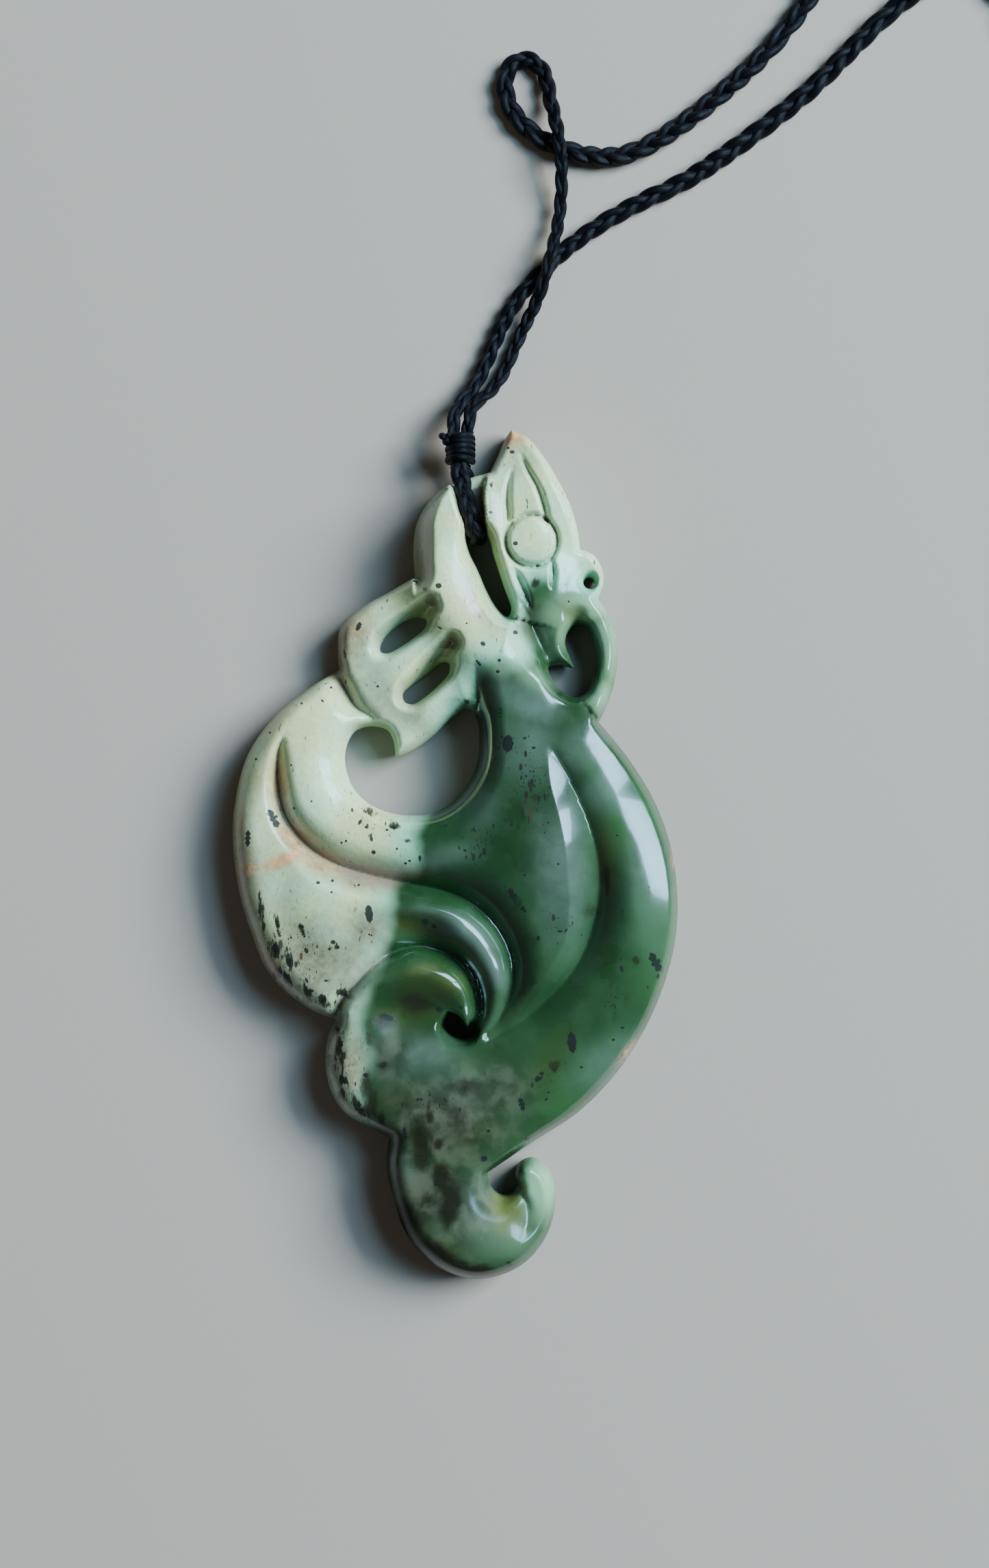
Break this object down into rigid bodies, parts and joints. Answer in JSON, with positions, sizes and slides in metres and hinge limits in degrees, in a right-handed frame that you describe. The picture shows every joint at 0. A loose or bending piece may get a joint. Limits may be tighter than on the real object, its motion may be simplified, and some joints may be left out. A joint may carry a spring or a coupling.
{
  "type": "carved jade pendant necklace",
  "caption": "Flat carved green stone pendant of a beaked figure with spiral arms and a hooked tail, on a plaited black neck cord bound at its neck.",
  "frame": {"origin": "under the middle of the stone's bounding box, on the surface that its flat back lies on", "axes": "+X across the stone to the side of its beak, +Y along the stone from its tail to its head, +Z out of its carved face"},
  "size_m": [0.1177, 0.1753, 0.0089],
  "materials": {
    "stone": "polished",
    "cord": "satin"
  },
  "bodies": {
    "root": {"pendant": "stone", "becket": "cord", "whipping": "cord", "neck_cord": "cord"}
  },
  "joints": []
}
